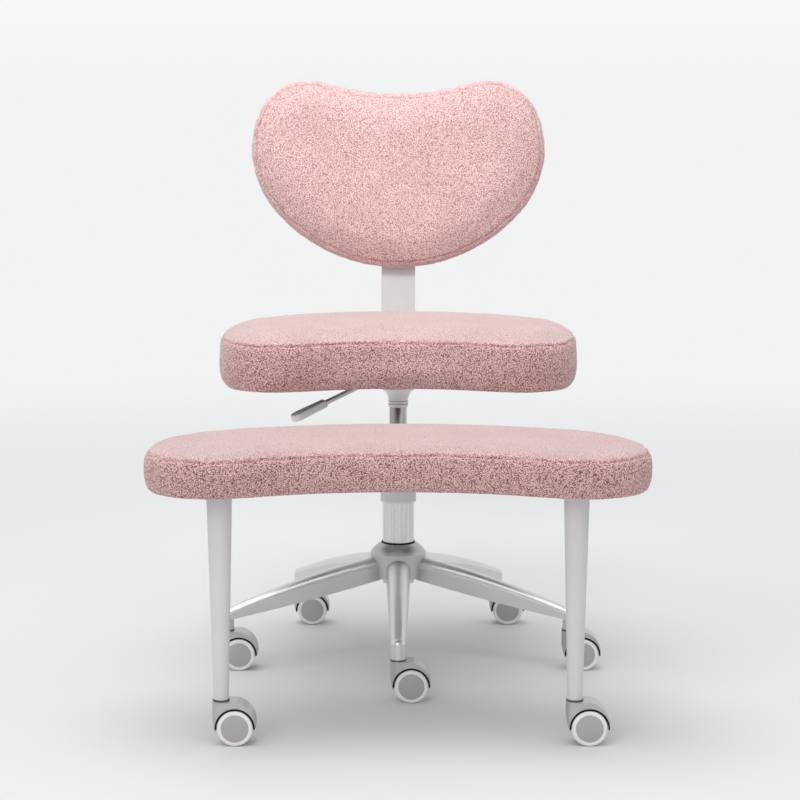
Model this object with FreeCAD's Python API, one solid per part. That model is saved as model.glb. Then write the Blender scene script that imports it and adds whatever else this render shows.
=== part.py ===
import FreeCAD, Part
import math
import os
from FreeCAD import Placement, Rotation, Vector

# Cross-legged office chair, in millimetres. The origin is on the floor at the column's axis.
# +X is to the right of someone facing the chair, +Y towards its back, +Z up.

# Fits
running_clearance = 0.05
axial_clearance = 0.1
bolt_radius = 3.0
bolt_head_radius = 5.0
bolt_head_height = 2.5
bolt_grip = 8.0

# Casters
wheel_radius = 25.0
wheel_width = 15.0
wheel_side_gap = 1.0
tread_depth = 5.8
tread_round = 3.0
hub_dome = 1.2
hub_wall = 4.0
axle_radius = 3.0
caster_trail = 19.5
stem_radius = 5.0
stem_socket_radius = 5.5
stem_socket_depth = 22.0
stem_flange_radius = 9.0
stem_flange_height = 1.5
stem_reach = 13.0
hood_roof = 9.4
hood_crest = 3.0
hood_shoulder_wall = 4.9
hood_tail = 2.0
hood_well_gap = 1.6
hood_web = 8.0
hood_side_step = 1.0
hood_boss_radius = 12.0
hood_toe = 5.0
hood_toe_wall = 0.8
hood_heel = 18.0
hood_heel_bulge = 1.2
hood_plan_round = 12.0
hood_tail_round = 5.0
axle_boss_radius = 8.0

# Star base
arm_count = 5
arm_reach = 281.0
arm_root_sink = 8.0
arm_middle_radius = 160.0
arm_root_half_width = 19.0
arm_middle_half_width = 15.0
arm_tip_half_width = 10.5
arm_root_rise = 65.5
arm_middle_rise = 38.0
arm_tip_rise = 15.5
arm_root_height = 35.0
arm_middle_height = 34.0
arm_tip_height = 16.3
arm_roundness = 0.75
arm_wall = 4.0
arm_cavity_hub_gap = 6.0
arm_cavity_tip_gap = 8.0
arm_rib = 3.0
arm_rib_count = 4
tip_boss_radius = 11.0
hub_skin = 6.0
hub_lip = 3.0
hub_shoulder_rise = 5.0
hub_flare_height = 15.5
hub_flare_bulge = 1.0
hub_mouth_depth = 2.0
hub_foot_rise = 2.0
hub_groove_width = 7.0
hub_groove_depth = 22.0
hub_groove_wall = 6.0

# Column
tube_radius = 25.0
tube_wall = 2.0
tube_foot = 11.0
tube_stub = 3.0
tube_floor = 4.0
bush_length = 65.0
bush_flange = 6.0
bearing_radius = 14.0
bearing_height = 5.0
rod_radius = 5.0
rod_journal_radius = 4.0
rod_tail = 5.0
clip_radius = 8.0
clip_height = 1.5
piston_height = 12.0
piston_rise = 117.0

# Gas cylinder
cylinder_radius = 14.0
cylinder_wall = 1.5
cylinder_foot_rise = 56.0
cylinder_gland = 10.0
cylinder_cap = 13.0
cylinder_exposed = 40.0
cylinder_head_height = 15.0
cylinder_head_step = 1.5
cylinder_head_ring_pitch = 4.5
cylinder_head_ring_count = 2
cylinder_head_groove = 0.5
cylinder_taper = 0.5
button_radius = 4.0
button_length = 26.0
button_travel = 2.6
button_play = 0.4

# Seat pan and lever
socket_wall = 2.5
bell_radius = 32.0
bell_height = 18.0
bell_rim = 3.5
bell_curve_reach = 4.8
bell_curve_rise = 9.5
pan_height = 15.0
pan_width = 212.0
pan_depth = 100.0
pan_setback = 28.0
pan_round = 22.0
pan_sheet = 3.0
pan_flange = 18.0
pan_bolt_half_spacing = 32.0
pan_mouth_margin = 2.5
lever_heading = 202.0
lever_slope = 22.3
lever_pull = 5.0
lever_rod_radius = 4.0
lever_pivot_radius = 22.0
lever_inner_overhang = 3.0
lever_bend_reach = 51.5
lever_bend_radius = 20.0
lever_side_gap = 0.3
lever_lift = 0.9
lever_slot_side = 3.0
lever_slot_play = 3.0
lever_ear = 3.0
lever_ear_length = 10.0
lever_pin_radius = 2.0
grip_start = 122.0
grip_end = 178.0
grip_socket = 22.0
grip_root_half_width = 8.0
grip_end_half_width = 12.0
grip_thickness = 12.0
grip_round = 3.0

# Cushion section, shared by the seat, backrest and footrest
cushion_foot_draw = 12.0
cushion_foot_round = 14.0
cushion_side_draw = 2.5
cushion_crown_inset = 62.0
cushion_steps = 4

# Seat
seat_seam_height = 68.0
seat_crown = 16.0
seat_half_width = 280.0
seat_widest = -15.0
seat_lobe_reach = 185.0
seat_lobe_radius = 85.0
seat_flank_radius = 500.0
seat_dip = 50.0
seat_back_reach = 210.0
seat_side_radius = 150.0
seat_board_inset = 30.0
board_thickness = 12.0
dust_cover_thickness = 2.0

# Back bar and backrest
bar_width = 56.0
bar_thickness = 7.0
bar_foot_gap = 9.0
bar_bend_radius = 40.0
bar_lean = 6.0
bar_length = 330.0
bar_end_round = 18.0
bar_bolt_half_spacing = 16.0
bar_foot_bolt_margin = 14.0
bar_foot_bolt_spacing = 26.0
backrest_drop = 11.0
backrest_half_width = 242.0
backrest_lobe_reach = 111.6
backrest_lobe_radius = 90.0
backrest_flank_radius = 147.0
backrest_dip = 23.0
backrest_lower_reach = 197.0
backrest_side_radius = 160.0
backrest_seam_depth = 34.0
backrest_crown = 20.0
backrest_board_inset = 34.0
backrest_bolt_margin = 30.0
backrest_bolt_spacing = 65.0
rear_panel_inset = 12.0
rear_panel_thickness = 2.0

# Footrest
footrest_seam_height = 49.0
footrest_crown = 10.0
footrest_half_width = 354.0
footrest_widest = -440.0
footrest_lobe_reach = 135.0
footrest_lobe_radius = 100.0
footrest_flank_radius = 400.0
footrest_dip = 61.0
footrest_back_reach = 195.0
footrest_side_radius = 130.0
footrest_board_inset = 30.0
frame_sheet = 3.0
frame_tongue_length = 213.0
frame_tongue_margin = 9.0
frame_bow = 62.0
frame_bolt_gap = 11.0
frame_bolt_margin = 28.0
collar_rise = 66.5
collar_length = 100.0
collar_wall = 2.0
collar_bush_wall = 1.2
collar_bush_length = 25.0
collar_flange = 2.0
footrest_arm_width = 50.0
footrest_arm_height = 23.0
footrest_arm_wall = 2.0
footrest_arm_root = 18.0
footrest_arm_lap = 88.0
leg_side_inset = 110.0
leg_forward = 67.0
leg_foot_radius = 10.5
leg_top_radius = 17.6
leg_wall = 1.6
leg_plug = 30.0
leg_flange_rim = 10.4
leg_flange_height = 2.5
leg_bolt_gap = 5.2
leg_bolt_count = 3

# Casters: what follows from their sizes
well_radius = wheel_radius + hood_well_gap
hood_rise = well_radius + hood_roof
hood_shoulder = (well_radius + hood_shoulder_wall) * math.sqrt(0.5)
hub_disc_radius = wheel_radius - tread_depth
wheel_inner_face = hood_web / 2 + wheel_side_gap
hood_half_width = wheel_inner_face + wheel_width - hood_side_step
stem_bottom = wheel_radius + hood_rise - stem_reach
boss_bottom = wheel_radius + hood_rise + stem_flange_height

# Star base: it stands on the casters
arm_root_bottom = boss_bottom + arm_root_rise
arm_root_top = arm_root_bottom + arm_root_height
arm_middle_bottom = boss_bottom + arm_middle_rise
arm_middle_top = arm_middle_bottom + arm_middle_height
arm_tip_bottom = boss_bottom + arm_tip_rise
arm_tip_top = arm_tip_bottom + arm_tip_height
hub_groove_inner = tube_radius + hub_groove_wall
hub_groove_outer = hub_groove_inner + hub_groove_width
hub_radius = hub_groove_outer + hub_skin
hub_mouth_radius = tube_radius + hub_lip
hub_bottom = arm_root_bottom + hub_foot_rise
hub_shoulder = arm_root_top + hub_shoulder_rise
hub_top = hub_shoulder + hub_flare_height
arm_root_radius = hub_radius - arm_root_sink
arm_cavity_start = hub_radius + arm_cavity_hub_gap
arm_cavity_end = arm_reach - tip_boss_radius - arm_cavity_tip_gap

# Footrest: it turns on the column above the hub
collar_bottom = hub_top + collar_rise
frame_bottom = collar_bottom + collar_length
footrest_bottom = frame_bottom + frame_sheet
collar_bore = tube_radius + running_clearance + collar_bush_wall
collar_radius = collar_bore + collar_wall
leg_offset = footrest_half_width - leg_side_inset
leg_position = footrest_widest - leg_forward
leg_flange_radius = leg_top_radius + leg_flange_rim
leg_bolt_circle = leg_top_radius + leg_bolt_gap
frame_front = leg_position - leg_flange_radius
frame_rear = leg_position + leg_flange_radius
frame_tongue_start = frame_rear + frame_tongue_length
frame_bolt_side = footrest_arm_width / 2 + frame_bolt_gap
frame_tongue_half_width = frame_bolt_side + frame_tongue_margin
footrest_arm_end = frame_tongue_start - footrest_arm_lap

# Column and gas cylinder: the tube ends above the footrest's collar
tube_bottom = hub_bottom - tube_foot
tube_top = frame_bottom + collar_flange + tube_stub
tube_bore = tube_radius - tube_wall
bearing_bottom = tube_bottom + tube_floor
rod_shoulder = bearing_bottom + bearing_height + axial_clearance
bush_bore = cylinder_radius + running_clearance
cylinder_bore = cylinder_radius - cylinder_wall
cylinder_bottom = tube_bottom + cylinder_foot_rise
cylinder_head_bottom = tube_top + bush_flange + cylinder_exposed
cylinder_head_radius = cylinder_radius + cylinder_head_step
cylinder_chamber_top = cylinder_head_bottom - cylinder_cap
piston_top = cylinder_bottom + cylinder_gland + piston_rise

# Seat, lever and back: they stand on the gas cylinder's head
socket_bottom = cylinder_head_bottom + cylinder_head_height
pan_bottom = socket_bottom + bell_height
pan_floor = pan_bottom + pan_sheet
seat_bottom = pan_bottom + pan_height
lever_height = pan_floor + lever_rod_radius + lever_lift
lever_slot_half_width = lever_rod_radius + lever_slot_side
button_top = lever_height - lever_rod_radius - button_play
bar_foot_start = pan_setback + pan_depth / 2 + pan_flange + bar_foot_gap
bar_bend_start = seat_widest + seat_back_reach - cushion_foot_draw
backrest_widest = bar_length - backrest_drop

parts = {}


def upright(a, b):
    """Point of a profile in the XZ plane."""
    return Vector(a, 0, b)


def flat(a, b):
    """Point of a plan outline in the XY plane."""
    return Vector(a, b, 0)


def closed_wire(place, start, *steps):
    """Closed wire from a start point: a step is the end of a line, or the middle and end of an arc."""
    edges = []
    here = start
    for step in steps + (start,):
        if isinstance(step[0], tuple):
            middle, end = step
            edges.append(Part.Arc(place(*here), place(*middle), place(*end)).toShape())
        else:
            end = step
            if end == here:
                continue
            edges.append(Part.makeLine(place(*here), place(*end)))
        here = end
    return Part.Wire(edges)


def turned(start, *steps):
    """Solid turned about Z from a closed profile of radius and height."""
    face = Part.Face(closed_wire(upright, start, *steps))
    return face.revolve(Vector(0, 0, 0), Vector(0, 0, 1), 360)


def slab(wire, low, height):
    """Solid of a plan outline pulled up by a height from a low level."""
    solid = Part.Face(wire).extrude(Vector(0, 0, height))
    solid.translate(Vector(0, 0, low))
    return solid


def dome(radius, rise, top):
    """Middle and end of the arc of a round dome's profile, from its rim to its top on the axis."""
    ball = (radius ** 2 + rise ** 2) / (2 * rise)
    half = radius / 2
    return (half, top - ball + math.sqrt(ball ** 2 - half ** 2)), (0, top)


def rounded_plan(half_x, half_y, radius):
    """Plan outline of a rectangle with round corners about the origin."""
    cut = radius * (1 - math.sqrt(0.5))
    return closed_wire(
        flat,
        (-half_x + radius, -half_y),
        (half_x - radius, -half_y),
        ((half_x - cut, -half_y + cut), (half_x, -half_y + radius)),
        (half_x, half_y - radius),
        ((half_x - cut, half_y - cut), (half_x - radius, half_y)),
        (-half_x + radius, half_y),
        ((-half_x + cut, half_y - cut), (-half_x, half_y - radius)),
        (-half_x, -half_y + radius),
        ((-half_x + cut, -half_y + cut), (-half_x + radius, -half_y)),
    )


def rod_between(start, end, radius):
    """Straight round bar between two points."""
    return Part.makeCylinder(radius, (end - start).Length, start, end - start)


def moved(shape, offset):
    """Copy of a shape moved by an offset."""
    copy = shape.copy()
    copy.translate(offset)
    return copy


def turned_copy(shape, degrees):
    """Copy of a shape turned about the column's axis."""
    copy = shape.copy()
    copy.rotate(Vector(0, 0, 0), Vector(0, 0, 1), degrees)
    return copy


def bolt(tip, direction, length):
    """Round-headed bolt: its head stands before the tip point and its shank runs along the direction."""
    under = tip - direction * bolt_head_height
    head = Part.makeCylinder(bolt_head_radius, bolt_head_height, under, direction)
    shank = Part.makeCylinder(bolt_radius, length, tip, direction)
    return head.fuse(shank).removeSplitter()


def across(point):
    """Mirror image of a plan point on the other side of the chair."""
    return Vector(-point.x, point.y, point.z)


class Bean:
    """Bean outline of eight tangent arcs: a dip in front, two lobes, two flanks, two sides and a back."""

    def __init__(self, half_width, lobe_reach, lobe_radius, flank_radius, dip, back_reach, side_radius):
        self.half_width = half_width
        self.flank_radius = flank_radius
        self.flank = Vector(half_width - flank_radius, 0, 0)
        self.side = Vector(half_width - side_radius, 0, 0)
        drop = lobe_reach - lobe_radius
        spread = math.sqrt((flank_radius - lobe_radius) ** 2 - drop ** 2)
        self.lobe = Vector(self.flank.x + spread, -drop, 0)
        self.dip_radius = (self.lobe.x ** 2 / dip + dip) / 2 - lobe_radius
        self.dip = Vector(0, dip - lobe_reach - self.dip_radius, 0)
        rest = self.side.x ** 2 + back_reach ** 2 - side_radius ** 2
        self.back_radius = rest / (2 * (back_reach - side_radius))
        self.back = Vector(0, back_reach - self.back_radius, 0)

    def wire(self, inset, height, place):
        """Outline at a height, drawn in by an inset: the arcs keep their centres and change their radii."""
        into_lobe = self.dip + (self.lobe - self.dip).normalize() * (self.dip_radius + inset)
        into_flank = self.flank + (self.lobe - self.flank).normalize() * (self.flank_radius - inset)
        into_side = Vector(self.half_width - inset, 0, 0)
        into_back = self.back + (self.side - self.back).normalize() * (self.back_radius - inset)
        right = [into_lobe, into_flank, into_side, into_back]
        corners = right + [across(point) for point in reversed(right)]
        centres = [self.lobe, self.flank, self.side, self.back]
        centres += [across(self.side), across(self.flank), across(self.lobe), self.dip]
        edges = []
        for number, centre in enumerate(centres):
            start = corners[number]
            end = corners[(number + 1) % len(corners)]
            radius = (start - centre).Length
            middle = centre + ((start - centre) + (end - centre)).normalize() * radius
            points = [place(point.x, point.y, height) for point in (start, middle, end)]
            edges.append(Part.Arc(*points).toShape())
        return Part.Wire(edges)

    def layer(self, inset, low, thickness, place):
        """Flat solid of the outline, drawn in by an inset, between two heights."""
        wires = [self.wire(inset, height, place) for height in (low, low + thickness)]
        return Part.makeLoft(wires, True, True)


def cushion(bean, seam_height, crown, place):
    """Closed cushion: a round drawn-in foot, full sides, a drawn-in seam and a shoulder up to a crown."""
    foot = cushion_foot_draw - cushion_side_draw
    reach = cushion_crown_inset - cushion_side_draw
    turns = [math.pi / 2 * number / cushion_steps for number in range(cushion_steps + 1)]
    levels = []
    for turn in turns:
        inset = cushion_side_draw + foot * (1 - math.sin(turn))
        levels.append((inset, cushion_foot_round * (1 - math.cos(turn))))
    levels.append((0, seam_height / 2))
    for turn in turns:
        inset = cushion_side_draw + reach * (1 - math.cos(turn))
        levels.append((inset, seam_height + crown * math.sin(turn)))
    wires = [bean.wire(inset, height, place) for inset, height in levels]
    return Part.makeLoft(wires, True, True)


def on_seat(x, y, height):
    """Point of the seat, from its widest line and its underside."""
    return Vector(x, seat_widest + y, seat_bottom + height)


def on_footrest(x, y, height):
    """Point of the footrest, from its widest line and its underside."""
    return Vector(x, footrest_widest + y, footrest_bottom + height)


def on_back(x, y, height):
    """Point of the upright backrest: the dip looks up and the thickness comes forward."""
    return Vector(x, -height, backrest_widest - y)


def wheel(side):
    """Tread and hub disc of a wheel beside the hood's web, on the side of the given sign."""
    crown = wheel_radius - tread_round * (1 - math.sqrt(0.5))
    edge = tread_round * (1 - math.sqrt(0.5))
    tread = turned(
        (hub_disc_radius, 0),
        (wheel_radius - tread_round, 0),
        ((crown, edge), (wheel_radius, tread_round)),
        (wheel_radius, wheel_width - tread_round),
        ((crown, wheel_width - edge), (wheel_radius - tread_round, wheel_width)),
        (hub_disc_radius, wheel_width),
    )
    bore = axle_radius + running_clearance
    hub = turned(
        (bore, 0),
        (hub_disc_radius, 0),
        (hub_disc_radius, wheel_width),
        dome(hub_disc_radius, hub_dome, wheel_width + hub_dome),
        (0, wheel_width - hub_wall),
        (bore, wheel_width - hub_wall),
    )
    pair = Part.makeCompound([tread, hub])
    pair.rotate(Vector(0, 0, 0), Vector(1, 0, 0), -90 * side)
    return moved(pair, Vector(caster_trail, side * wheel_inner_face, wheel_radius))


def hood():
    """Caster hood: a moulded cover with a well for each wheel, a web between them and a stem boss."""
    centre = caster_trail
    top = wheel_radius + hood_rise
    tail = centre + well_radius + hood_tail
    heel = top - hood_heel
    toe = (centre - well_radius - hood_toe_wall, wheel_radius - hood_toe)
    profile = closed_wire(
        upright,
        (tail, wheel_radius),
        ((centre + hood_shoulder, wheel_radius + hood_shoulder), (centre + hood_crest, top)),
        (-hood_boss_radius, top),
        (-hood_boss_radius, heel),
        ((-hood_boss_radius + hood_heel_bulge, (heel + toe[1]) / 2), toe),
    )
    cover = Part.Face(profile).extrude(Vector(0, 2 * hood_half_width, 0))
    cover.translate(Vector(0, -hood_half_width, 0))
    cut = hood_plan_round * (1 - math.sqrt(0.5))
    nip = hood_tail_round * (1 - math.sqrt(0.5))
    left = -hood_boss_radius
    side = hood_half_width
    plan = closed_wire(
        flat,
        (left + hood_plan_round, -side),
        (tail - hood_tail_round, -side),
        ((tail - nip, -side + nip), (tail, -side + hood_tail_round)),
        (tail, side - hood_tail_round),
        ((tail - nip, side - nip), (tail - hood_tail_round, side)),
        (left + hood_plan_round, side),
        ((left + cut, side - cut), (left, side - hood_plan_round)),
        (left, -side + hood_plan_round),
        ((left + cut, -side + cut), (left + hood_plan_round, -side)),
    )
    cover = cover.common(slab(plan, 0, top))
    for sign in (-1, 1):
        mouth = Vector(centre, sign * hood_web / 2, wheel_radius)
        cover = cover.cut(Part.makeCylinder(well_radius, side, mouth, Vector(0, sign, 0)))
    web_face = Vector(centre, -hood_web / 2, wheel_radius)
    cover = cover.fuse(Part.makeCylinder(axle_boss_radius, hood_web, web_face, Vector(0, 1, 0)))
    cover = cover.cut(Part.makeCylinder(axle_radius, hood_web, web_face, Vector(0, 1, 0)))
    bore_floor = Vector(0, 0, stem_bottom - axial_clearance)
    cover = cover.cut(Part.makeCylinder(stem_radius + running_clearance, hood_rise, bore_floor))
    return cover.removeSplitter()


def axle():
    """Axle pin pressed through the hood's web, with a wheel on each end."""
    reach = wheel_inner_face + wheel_width - hub_wall - axial_clearance
    start = Vector(caster_trail, -reach, wheel_radius)
    return rod_between(start, start + Vector(0, 2 * reach, 0), axle_radius)


def stem():
    """Caster stem: a journal in the hood, a flange and a plug in the socket above."""
    flange_bottom = boss_bottom - stem_flange_height + axial_clearance
    return turned(
        (0, stem_bottom),
        (stem_radius, stem_bottom),
        (stem_radius, flange_bottom),
        (stem_flange_radius, flange_bottom),
        (stem_flange_radius, boss_bottom),
        (stem_socket_radius, boss_bottom),
        (stem_socket_radius, boss_bottom + stem_socket_depth),
        (0, boss_bottom + stem_socket_depth),
    )


def arm_section(radius, half_width, top, bottom):
    """Cross-section of a base arm at a radius along X: a flat foot, straight flanks and a round top."""
    shoulder = top - arm_roundness * half_width
    return closed_wire(
        lambda a, b: Vector(radius, a, b),
        (-half_width, bottom),
        (half_width, bottom),
        (half_width, shoulder),
        ((0, top), (-half_width, shoulder)),
    )


def arm_form(draw):
    """Arched, tapered body of a base arm, drawn in all round by a wall and let down at its foot."""
    sections = [
        (arm_root_radius, arm_root_half_width, arm_root_top, arm_root_bottom),
        (arm_middle_radius, arm_middle_half_width, arm_middle_top, arm_middle_bottom),
        (arm_reach, arm_tip_half_width, arm_tip_top, arm_tip_bottom),
    ]
    wires = [arm_section(r, half - draw, top - draw, low - draw) for r, half, top, low in sections]
    return Part.makeLoft(wires, True, False)


def base_arm():
    """One arm of the star base along X: arched top, hollow ribbed underside and a caster socket."""
    length = arm_cavity_end - arm_cavity_start
    span = 2 * arm_root_half_width
    reach = Part.makeBox(length, span, arm_root_top, Vector(arm_cavity_start, -span / 2, 0))
    cavity = arm_form(arm_wall).common(reach)
    for number in range(1, arm_rib_count + 1):
        at = arm_cavity_start + length * number / (arm_rib_count + 1)
        corner = Vector(at - arm_rib / 2, -span / 2, 0)
        cavity = cavity.cut(Part.makeBox(arm_rib, span, arm_root_top, corner))
    keel = Part.makeBox(length, arm_rib, arm_root_top, Vector(arm_cavity_start, -arm_rib / 2, 0))
    cavity = cavity.cut(keel)
    rise = arm_roundness * arm_tip_half_width
    boss = turned(
        (0, boss_bottom),
        (tip_boss_radius, boss_bottom),
        (tip_boss_radius, arm_tip_top - rise),
        dome(tip_boss_radius, rise, arm_tip_top),
    )
    tip = Vector(arm_reach, 0, 0)
    arm = arm_form(0).cut(cavity).fuse(moved(boss, tip))
    mouth = tip + Vector(0, 0, boss_bottom)
    return arm.cut(Part.makeCylinder(stem_socket_radius, stem_socket_depth, mouth))


def arm_bearing(number):
    """Direction of a base arm in degrees from +X: the first points forward."""
    return -90 + 360 * number / arm_count


def star_base():
    """Cast star base: a hub with a flared top, and arched arms all round it."""
    groove_top = hub_bottom + hub_groove_depth
    lip = (tube_radius + hub_mouth_radius) / 2
    flare_radius = (hub_radius + hub_mouth_radius) / 2 + hub_flare_bulge
    flare_height = (hub_shoulder + hub_top) / 2 + hub_flare_bulge
    hub = turned(
        (tube_radius, hub_bottom),
        (hub_groove_inner, hub_bottom),
        (hub_groove_inner, groove_top),
        (hub_groove_outer, groove_top),
        (hub_groove_outer, hub_bottom),
        (hub_radius, hub_bottom),
        (hub_radius, hub_shoulder),
        ((flare_radius, flare_height), (hub_mouth_radius, hub_top)),
        (lip, hub_top),
        (lip, hub_top - hub_mouth_depth),
        (tube_radius, hub_top - hub_mouth_depth),
    )
    arm = base_arm()
    arms = [turned_copy(arm, arm_bearing(number)) for number in range(arm_count)]
    return hub.multiFuse(arms).removeSplitter()


def caster_places():
    """Stem axis of every caster by name: one under each base arm and one under each footrest leg."""
    names = ["front", "front_right", "rear_right", "rear_left", "front_left"]
    places = {}
    for number, name in enumerate(names):
        angle = math.radians(arm_bearing(number))
        places["base_" + name] = Vector(arm_reach * math.cos(angle), arm_reach * math.sin(angle), 0)
    places["footrest_left"] = Vector(-leg_offset, leg_position, 0)
    places["footrest_right"] = Vector(leg_offset, leg_position, 0)
    return places


def casters():
    """All casters: hood, axle and two wheels at each place, and the stems that hold them."""
    cover = hood()
    pin = axle()
    near = wheel(-1)
    far = wheel(1)
    stems = {"base": [], "footrest": []}
    for name, place in caster_places().items():
        parts["hood_" + name] = moved(cover, place)
        parts["axle_" + name] = moved(pin, place)
        parts["wheel_near_" + name] = moved(near, place)
        parts["wheel_far_" + name] = moved(far, place)
        stems[name.split("_")[0]].append(moved(stem(), place))
    for carrier, group in stems.items():
        parts[carrier + "_caster_stems"] = Part.makeCompound(group)


def column():
    """Column tube with its bush, and the piston rod that turns on a bearing at its foot."""
    journal = rod_journal_radius + running_clearance
    parts["column_tube"] = turned(
        (journal, tube_bottom),
        (tube_radius, tube_bottom),
        (tube_radius, tube_top),
        (tube_bore, tube_top),
        (tube_bore, bearing_bottom),
        (journal, bearing_bottom),
    )
    parts["column_bush"] = turned(
        (bush_bore, tube_top - bush_length),
        (tube_bore, tube_top - bush_length),
        (tube_bore, tube_top),
        (tube_radius, tube_top),
        (tube_radius, tube_top + bush_flange / 2),
        (tube_radius - bush_flange / 2, tube_top + bush_flange),
        (bush_bore, tube_top + bush_flange),
    )
    parts["thrust_bearing"] = turned(
        (journal, bearing_bottom),
        (bearing_radius, bearing_bottom),
        (bearing_radius, bearing_bottom + bearing_height),
        (journal, bearing_bottom + bearing_height),
    )
    tail = tube_bottom - rod_tail
    clip_top = tube_bottom - axial_clearance
    piston_radius = cylinder_bore - running_clearance
    parts["piston_rod"] = turned(
        (0, tail),
        (rod_journal_radius, tail),
        (rod_journal_radius, rod_shoulder),
        (rod_radius, rod_shoulder),
        (rod_radius, piston_top - piston_height),
        (piston_radius, piston_top - piston_height),
        (piston_radius, piston_top),
        (0, piston_top),
    )
    parts["rod_clip"] = turned(
        (rod_journal_radius, clip_top - clip_height),
        (clip_radius, clip_top - clip_height),
        (clip_radius, clip_top),
        (rod_journal_radius, clip_top),
    )


def gas_cylinder():
    """Gas cylinder with a gland below, a chamber for the piston and a tapered head above."""
    gland = rod_radius + running_clearance
    button = button_radius + running_clearance
    button_floor = button_top - button_length - button_travel - axial_clearance
    waist = cylinder_head_radius - cylinder_head_groove
    rings = []
    for number in range(1, cylinder_head_ring_count + 1):
        low = cylinder_head_bottom + cylinder_head_ring_pitch * number
        rings += [(cylinder_head_radius, low), (waist, low)]
        rings += [(waist, low + cylinder_head_groove), (cylinder_head_radius, low + cylinder_head_groove)]
    parts["gas_cylinder"] = turned(
        (gland, cylinder_bottom),
        (cylinder_radius, cylinder_bottom),
        (cylinder_radius, cylinder_head_bottom),
        (cylinder_head_radius, cylinder_head_bottom),
        *rings,
        (cylinder_head_radius, socket_bottom),
        (cylinder_radius, socket_bottom),
        (cylinder_radius - cylinder_taper, pan_bottom),
        (button, pan_bottom),
        (button, button_floor),
        (0, button_floor),
        (0, cylinder_chamber_top),
        (cylinder_bore, cylinder_chamber_top),
        (cylinder_bore, cylinder_bottom + cylinder_gland),
        (gland, cylinder_bottom + cylinder_gland),
    )
    parts["release_button"] = rod_between(
        Vector(0, 0, button_top - button_length), Vector(0, 0, button_top), button_radius
    )


def seat_pan():
    """Pressed seat pan set back from a bell-shaped socket, with a flange, a lever slot and two lever ears."""
    rim = pan_bottom - bell_rim
    throat = cylinder_radius + socket_wall
    curve = (throat + bell_curve_reach, socket_bottom + bell_curve_rise)
    bell = turned(
        (cylinder_radius, socket_bottom),
        (throat, socket_bottom),
        (curve, (bell_radius, rim)),
        (bell_radius, pan_bottom),
        (cylinder_radius - cylinder_taper, pan_bottom),
    )
    height = seat_bottom - pan_bottom
    half_x = pan_width / 2
    half_y = pan_depth / 2
    outer = slab(rounded_plan(half_x, half_y, pan_round), pan_bottom, height)
    inner_plan = rounded_plan(half_x - pan_sheet, half_y - pan_sheet, pan_round - pan_sheet)
    flange_plan = rounded_plan(half_x + pan_flange, half_y + pan_flange, pan_round + pan_flange)
    flange = slab(flange_plan, seat_bottom - pan_sheet, pan_sheet)
    pan = outer.fuse(flange).cut(slab(inner_plan, pan_floor, height))
    pan.translate(Vector(0, pan_setback, 0))
    mouth_radius = cylinder_radius + pan_mouth_margin
    mouth = Part.makeCylinder(mouth_radius, pan_sheet, Vector(0, 0, pan_bottom))
    pan = pan.cut(mouth).fuse(bell).cut(turned_copy(lever_slot(), lever_heading))
    for sign in (-1, 1):
        pan = pan.fuse(turned_copy(lever_ear_plate(sign), lever_heading))
    return pan.removeSplitter()


def lever_slot():
    """Slot in the pan from the lever's ears to where the pulled-up lever leaves it, before it is turned."""
    raised = math.radians(lever_slope - lever_pull)
    lift = (lever_bend_reach - lever_pivot_radius) * math.sin(math.radians(lever_pull))
    upper_side = lever_height + lift + lever_rod_radius / math.cos(raised)
    leaves = lever_bend_reach + (upper_side - pan_bottom) / math.tan(raised)
    half = lever_slot_half_width
    start = lever_pivot_radius + lever_ear_length / 2 + half
    end = leaves + lever_slot_play - half
    plan = closed_wire(
        flat,
        (start, -half),
        (end, -half),
        ((end + half, 0), (end, half)),
        (start, half),
        ((start - half, 0), (start, -half)),
    )
    return slab(plan, pan_bottom, seat_bottom - pan_bottom)


def lever_ear_plate(sign):
    """Ear of the seat pan beside the lever, with a hole for the lever pin, before it is turned."""
    half = lever_ear_length / 2
    ear = Part.Face(closed_wire(
        upright,
        (lever_pivot_radius - half, pan_floor),
        (lever_pivot_radius + half, pan_floor),
        (lever_pivot_radius + half, lever_height),
        ((lever_pivot_radius, lever_height + half), (lever_pivot_radius - half, lever_height)),
    )).extrude(Vector(0, lever_ear, 0))
    inner = lever_rod_radius + lever_side_gap
    ear.translate(Vector(0, inner if sign > 0 else -inner - lever_ear, 0))
    start = Vector(lever_pivot_radius, -pan_depth / 2, lever_height)
    return ear.cut(rod_between(start, start + Vector(0, pan_depth, 0), lever_pin_radius))


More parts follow.
